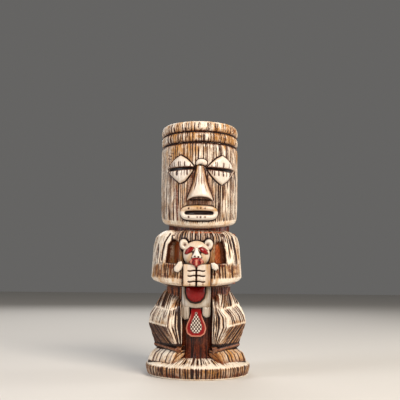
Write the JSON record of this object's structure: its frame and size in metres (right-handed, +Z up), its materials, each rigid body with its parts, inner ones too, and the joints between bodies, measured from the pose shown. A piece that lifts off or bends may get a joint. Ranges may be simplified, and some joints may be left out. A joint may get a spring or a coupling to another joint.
{
  "type": "tiki mug",
  "caption": "Tall hollow ceramic cup shaped as a carved log figure that squats on a round plinth and holds a small animal.",
  "frame": {"origin": "middle of the plinth's underside, on the surface that the mug stands on", "axes": "+Z up to the rim, the face looks along -Y, +X to the right as seen from the front"},
  "size_m": [0.0794, 0.0794, 0.19],
  "materials": {
    "clay_glaze": "honey-brown wash over cream clay, clear gloss glaze",
    "pale_glaze": "cream, wiped clean of stain, clear gloss glaze",
    "stained_glaze": "dark brown stain, clear gloss glaze",
    "red_glaze": "deep red, gloss",
    "ash_glaze": "grey-white, gloss"
  },
  "bodies": {
    "root": {"vessel_body": "clay_glaze", "chin": "clay_glaze", "left_arm": "clay_glaze", "right_arm": "clay_glaze", "chest": "clay_glaze", "back": "clay_glaze", "left_leg": "clay_glaze", "right_leg": "clay_glaze", "plinth": "pale_glaze", "left_upper_eyelid": "pale_glaze", "left_lower_eyelid": "pale_glaze", "right_upper_eyelid": "pale_glaze", "right_lower_eyelid": "pale_glaze", "brow_bead": "pale_glaze", "nose": "pale_glaze", "lips": "pale_glaze", "left_hand": "pale_glaze", "right_hand": "pale_glaze", "animal_head": "pale_glaze", "animal_left_ear": "pale_glaze", "animal_right_ear": "pale_glaze", "animal_snout": "pale_glaze", "animal_left_paw": "pale_glaze", "animal_right_paw": "pale_glaze", "tail_panel": "pale_glaze", "left_foot": "pale_glaze", "right_foot": "pale_glaze", "left_anklet": "stained_glaze", "right_anklet": "stained_glaze", "animal_left_eye": "red_glaze", "animal_right_eye": "red_glaze", "animal_mouth": "red_glaze", "animal_belly": "red_glaze", "animal_tail": "red_glaze", "animal_trunk": "ash_glaze", "animal_left_leg": "ash_glaze", "animal_right_leg": "ash_glaze"}
  },
  "joints": []
}
